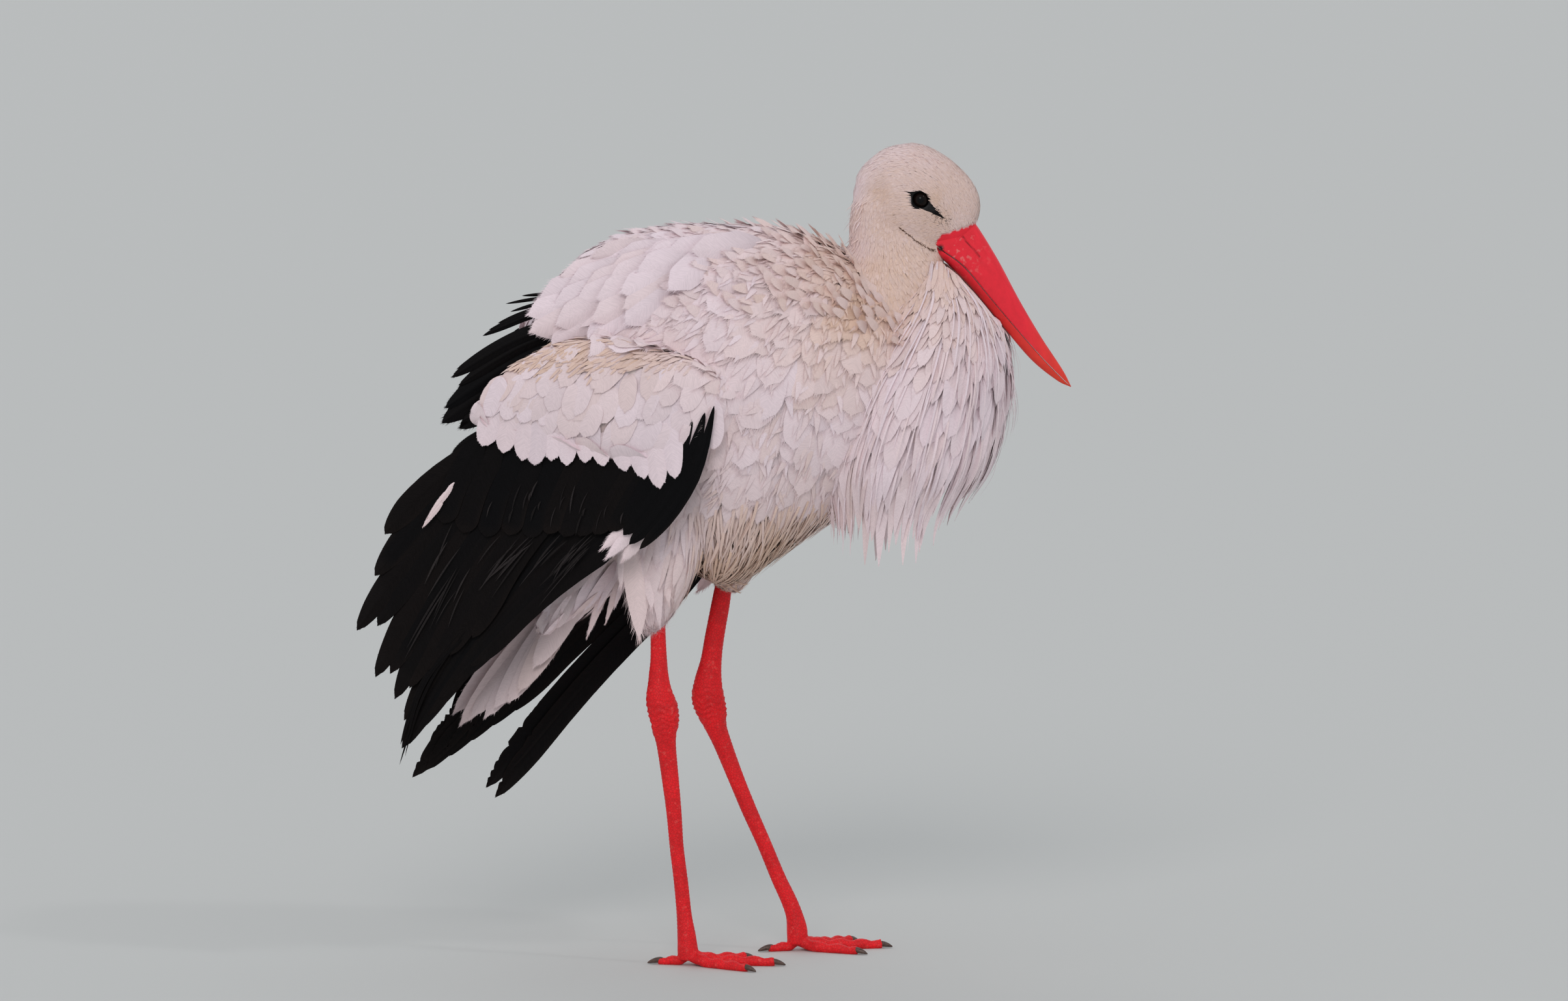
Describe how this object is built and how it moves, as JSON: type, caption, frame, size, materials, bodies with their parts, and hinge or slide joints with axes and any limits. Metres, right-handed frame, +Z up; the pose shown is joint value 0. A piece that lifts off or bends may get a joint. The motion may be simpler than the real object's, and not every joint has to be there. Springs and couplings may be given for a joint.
{
  "type": "standing white stork",
  "caption": "Life-size still model of a white stork, hunched, with its neck drawn in, a ruff of hanging breast plumes, loose black and white wings and long red legs.",
  "frame": {"origin": "on the floor, under the middle of the bird's box", "axes": "+X towards the bill, +Y towards the bird's left side, +Z up"},
  "size_m": [0.6284, 0.2456, 0.7193],
  "materials": {
    "white_feather": "soft matt plumage, warm white with cream on the neck and belly",
    "black_feather": "close black flight feathers with a low sheen, browner at worn edges",
    "eye": "wet, very dark brown",
    "bill": "red horn with a soft sheen, scuffed near the base, orange below",
    "leg_skin": "red scaly skin, wrinkled at the heels",
    "claw": "dull brown horn"
  },
  "bodies": {
    "root": {"head": "white_feather", "neck": "white_feather", "trunk": "white_feather", "ruff": "white_feather", "thigh_right": "white_feather", "thigh_left": "white_feather", "tail": "white_feather", "wing_right_coverts": "white_feather", "wing_left_coverts": "white_feather", "wing_right_greater_coverts": "black_feather", "wing_left_greater_coverts": "black_feather", "wing_right_secondaries": "black_feather", "wing_left_secondaries": "black_feather", "wing_right_primaries": "black_feather", "wing_left_primaries": "black_feather", "scapulars_right": "black_feather", "scapulars_left": "black_feather", "eye_right": "eye", "eye_left": "eye", "bill_upper": "bill", "bill_lower": "bill", "shank_right": "leg_skin", "shank_left": "leg_skin", "tarsus_right": "leg_skin", "tarsus_left": "leg_skin", "foot_right": "leg_skin", "foot_left": "leg_skin", "claw_right_inner": "claw", "claw_right_middle": "claw", "claw_right_outer": "claw", "claw_right_hind": "claw", "claw_left_inner": "claw", "claw_left_middle": "claw", "claw_left_outer": "claw", "claw_left_hind": "claw"}
  },
  "joints": []
}
